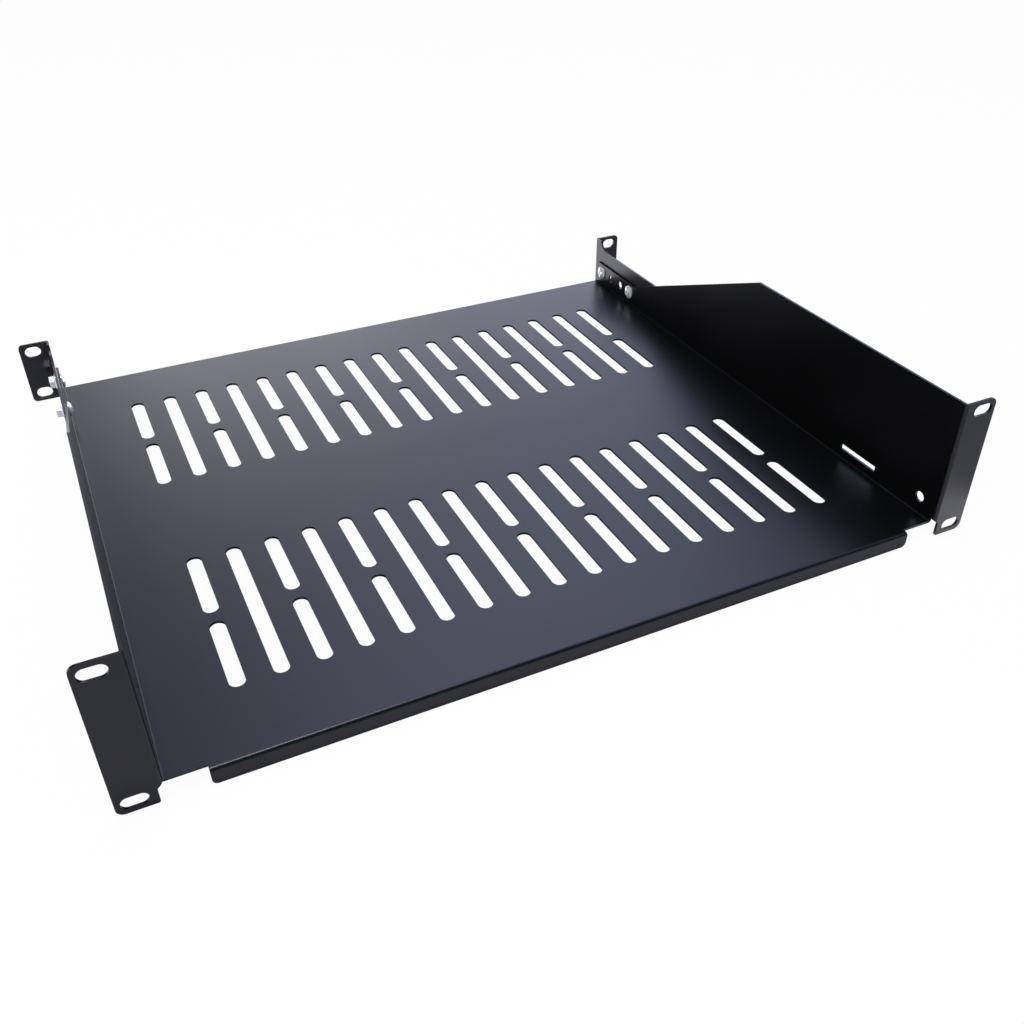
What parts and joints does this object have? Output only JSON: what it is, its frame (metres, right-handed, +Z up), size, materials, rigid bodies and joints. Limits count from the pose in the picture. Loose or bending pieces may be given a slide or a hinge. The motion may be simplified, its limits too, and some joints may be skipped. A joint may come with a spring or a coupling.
{
  "type": "cantilever rack shelf",
  "caption": "Vented steel shelf with folded side walls, slotted rack ears, a front lip and bolted adjustable rear brackets, for a two-unit space in a 19-inch rack.",
  "frame": {"origin": "centre of the rectangle of the four front fixing slots, on the rear face of the ears, which is the face that seats on the rack's front rails", "axes": "+X to the right seen from the front, +Y back into the rack, +Z up"},
  "size_m": [0.4826, 0.407, 0.0885],
  "materials": {
    "powder_coat": "satin black powder coat",
    "zinc_steel": "bright zinc plate"
  },
  "bodies": {
    "root": {"shelf_tray": "powder_coat", "rear_bracket_left": "powder_coat", "rear_bracket_right": "powder_coat", "bracket_screws": "zinc_steel", "bracket_nuts": "zinc_steel"}
  },
  "joints": []
}
